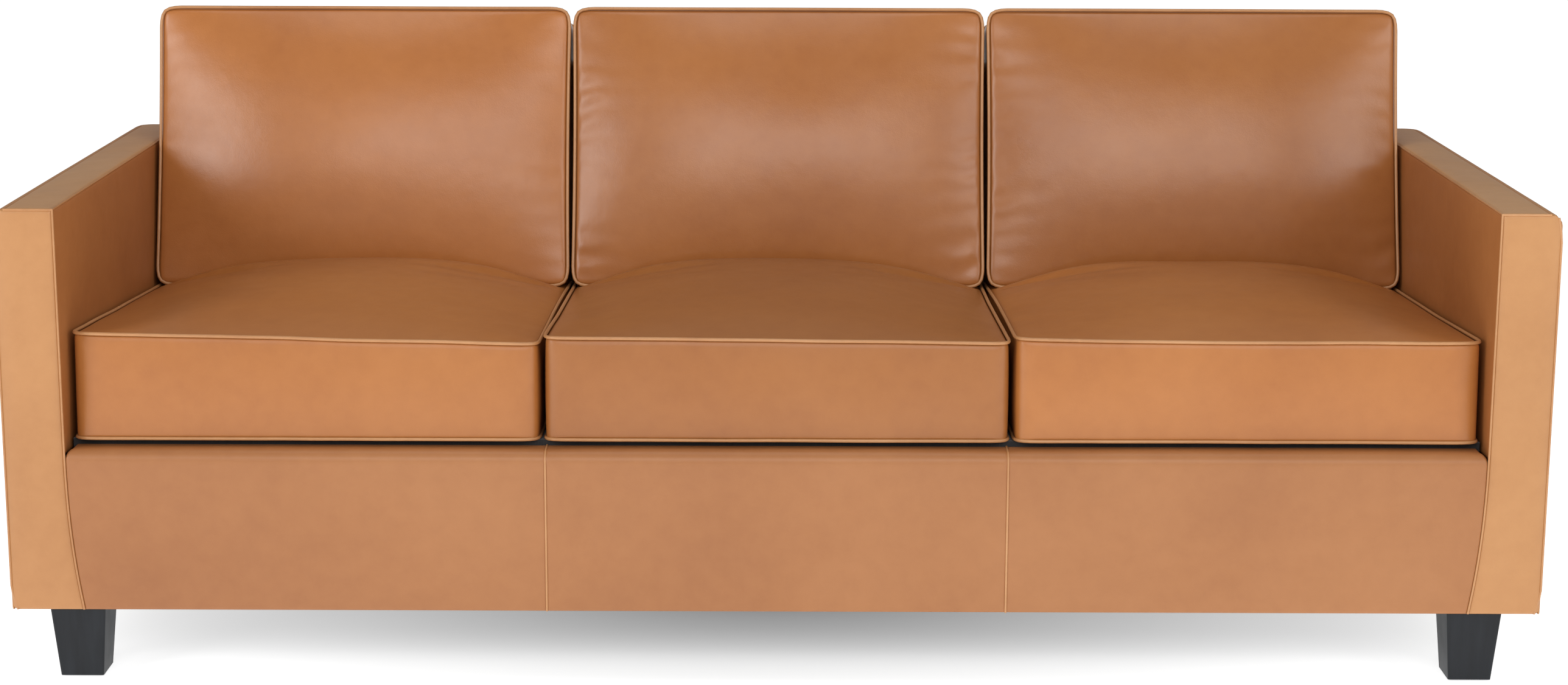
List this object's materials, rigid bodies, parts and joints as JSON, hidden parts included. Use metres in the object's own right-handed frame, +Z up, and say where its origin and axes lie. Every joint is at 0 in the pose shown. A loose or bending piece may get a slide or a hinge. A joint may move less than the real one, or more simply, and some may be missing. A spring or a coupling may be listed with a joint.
{
  "type": "sofa",
  "caption": "Three-seat tan leather sofa with track arms, loose boxed and welted cushions and short tapered black wooden legs.",
  "frame": {"origin": "centre of the footprint, on the floor", "axes": "+X along the sofa, +Z up, the front faces -Y"},
  "size_m": [2.134, 0.89, 0.8804],
  "materials": {
    "tan_leather": "semi-gloss aniline",
    "welt_leather": "burnished edge",
    "black_wood": "black satin stain",
    "frame_wood": "raw board",
    "spring_steel": "oil tempered",
    "zinc_steel": "zinc plated",
    "foam": "foam in fibre wrap",
    "webbing": "woven elastic",
    "black_cloth": "non-woven",
    "glide_plastic": "matt"
  },
  "bodies": {
    "frame": {"arm_front_panel_left": "tan_leather", "arm_front_panel_right": "tan_leather", "arm_inside_panel_left": "tan_leather", "arm_inside_panel_right": "tan_leather", "arm_outside_panel_left": "tan_leather", "arm_outside_panel_right": "tan_leather", "arm_top_panel_left": "tan_leather", "arm_top_panel_right": "tan_leather", "front_rail_panel_left": "tan_leather", "front_rail_panel_middle": "tan_leather", "front_rail_panel_right": "tan_leather", "inside_back_panel": "tan_leather", "outside_back_panel": "tan_leather", "leg_front_left": "black_wood", "leg_front_right": "black_wood", "leg_back_left": "black_wood", "leg_back_right": "black_wood", "front_rail_board": "frame_wood", "back_rail_board": "frame_wood", "side_rail_boards": "frame_wood", "stretchers": "frame_wood", "corner_blocks": "frame_wood", "arm_front_posts": "frame_wood", "arm_back_posts": "frame_wood", "arm_top_boards": "frame_wood", "back_uprights": "frame_wood", "back_top_rail": "frame_wood", "seat_springs": "spring_steel", "tie_wires": "spring_steel", "spring_clips": "zinc_steel", "hanger_bolts": "zinc_steel", "tee_nuts": "zinc_steel", "arm_padding_left": "foam", "arm_padding_right": "foam", "front_rail_padding": "foam", "back_padding": "foam", "back_webbing": "webbing", "dust_cover": "black_cloth", "seat_deck_cloth": "black_cloth", "seat_deck_pad": "black_cloth", "leg_glides": "glide_plastic"},
    "seat_cushion_left": {"seat_cushion_cover_left": "tan_leather", "seat_cushion_core_left": "foam", "seat_cushion_welts_left": "welt_leather"},
    "back_cushion_left": {"back_cushion_cover_left": "tan_leather", "back_cushion_core_left": "foam", "back_cushion_welts_left": "welt_leather"},
    "seat_cushion_middle": {"seat_cushion_cover_middle": "tan_leather", "seat_cushion_core_middle": "foam", "seat_cushion_welts_middle": "welt_leather"},
    "back_cushion_middle": {"back_cushion_cover_middle": "tan_leather", "back_cushion_core_middle": "foam", "back_cushion_welts_middle": "welt_leather"},
    "seat_cushion_right": {"seat_cushion_cover_right": "tan_leather", "seat_cushion_core_right": "foam", "seat_cushion_welts_right": "welt_leather"},
    "back_cushion_right": {"back_cushion_cover_right": "tan_leather", "back_cushion_core_right": "foam", "back_cushion_welts_right": "welt_leather"}
  },
  "joints": [
    {"name": "seat_cushion_left_slide", "type": "slide", "parent": "frame", "child": "seat_cushion_left", "axis": [0, -0.9981, 0.061], "range_m": [0, 0.7]},
    {"name": "seat_cushion_middle_slide", "type": "slide", "parent": "frame", "child": "seat_cushion_middle", "axis": [0, -0.9981, 0.061], "range_m": [0, 0.7]},
    {"name": "seat_cushion_right_slide", "type": "slide", "parent": "frame", "child": "seat_cushion_right", "axis": [0, -0.9981, 0.061], "range_m": [0, 0.7]},
    {"name": "back_cushion_left_lift", "type": "slide", "parent": "frame", "child": "back_cushion_left", "axis": [0, 0.2588, 0.9659], "range_m": [0, 0.45]},
    {"name": "back_cushion_middle_lift", "type": "slide", "parent": "frame", "child": "back_cushion_middle", "axis": [0, 0.2588, 0.9659], "range_m": [0, 0.45]},
    {"name": "back_cushion_right_lift", "type": "slide", "parent": "frame", "child": "back_cushion_right", "axis": [0, 0.2588, 0.9659], "range_m": [0, 0.45]}
  ]
}
